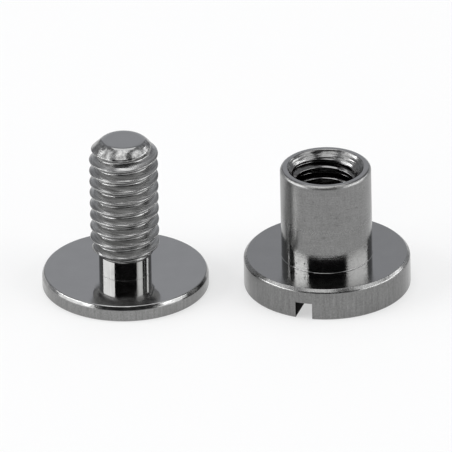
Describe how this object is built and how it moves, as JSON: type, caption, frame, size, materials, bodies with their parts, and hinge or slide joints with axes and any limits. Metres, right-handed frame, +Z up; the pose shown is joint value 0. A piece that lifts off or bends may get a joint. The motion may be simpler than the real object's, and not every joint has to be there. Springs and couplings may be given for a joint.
{
  "type": "binding barrel screw",
  "caption": "Round slotted barrel with a threaded bore, and the flat-headed screw that threads into it, standing apart on their heads.",
  "frame": {"origin": "on the surface that both heads stand on, midway between the two axes", "axes": "+X from the screw's axis to the barrel's, +Z up along both axes from the heads to the tips"},
  "size_m": [0.021, 0.0094, 0.0093],
  "materials": {
    "barrel_metal": "bright nickel plate over turned steel",
    "screw_metal": "bright nickel plate over turned steel"
  },
  "bodies": {
    "root": {"barrel": "barrel_metal", "screw": "screw_metal"}
  },
  "joints": []
}
